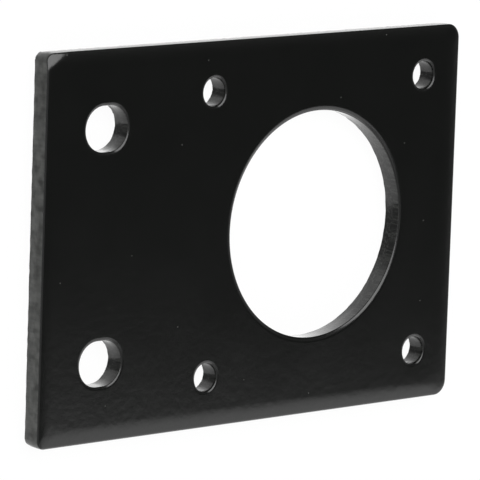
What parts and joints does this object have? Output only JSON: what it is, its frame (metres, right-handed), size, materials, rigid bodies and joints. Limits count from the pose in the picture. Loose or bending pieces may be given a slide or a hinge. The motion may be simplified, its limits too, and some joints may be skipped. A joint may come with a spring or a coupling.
{
  "type": "motor mounting bracket",
  "caption": "Flat black steel motor mounting plate with a central pilot bore, a square pattern of motor bolt holes and a pair of short frame slots at one end.",
  "frame": {"origin": "centre of the motor bore at the plate's back face, the face it lies on", "axes": "+X along the plate from the slotted end to the bored end, +Y across it, +Z out of the front face with the rounded edges"},
  "size_m": [0.0909, 0.0638, 0.0035],
  "materials": {
    "black_paint": "semi-gloss black paint on blanked steel plate"
  },
  "bodies": {
    "root": {"mounting_plate": "black_paint"}
  },
  "joints": []
}
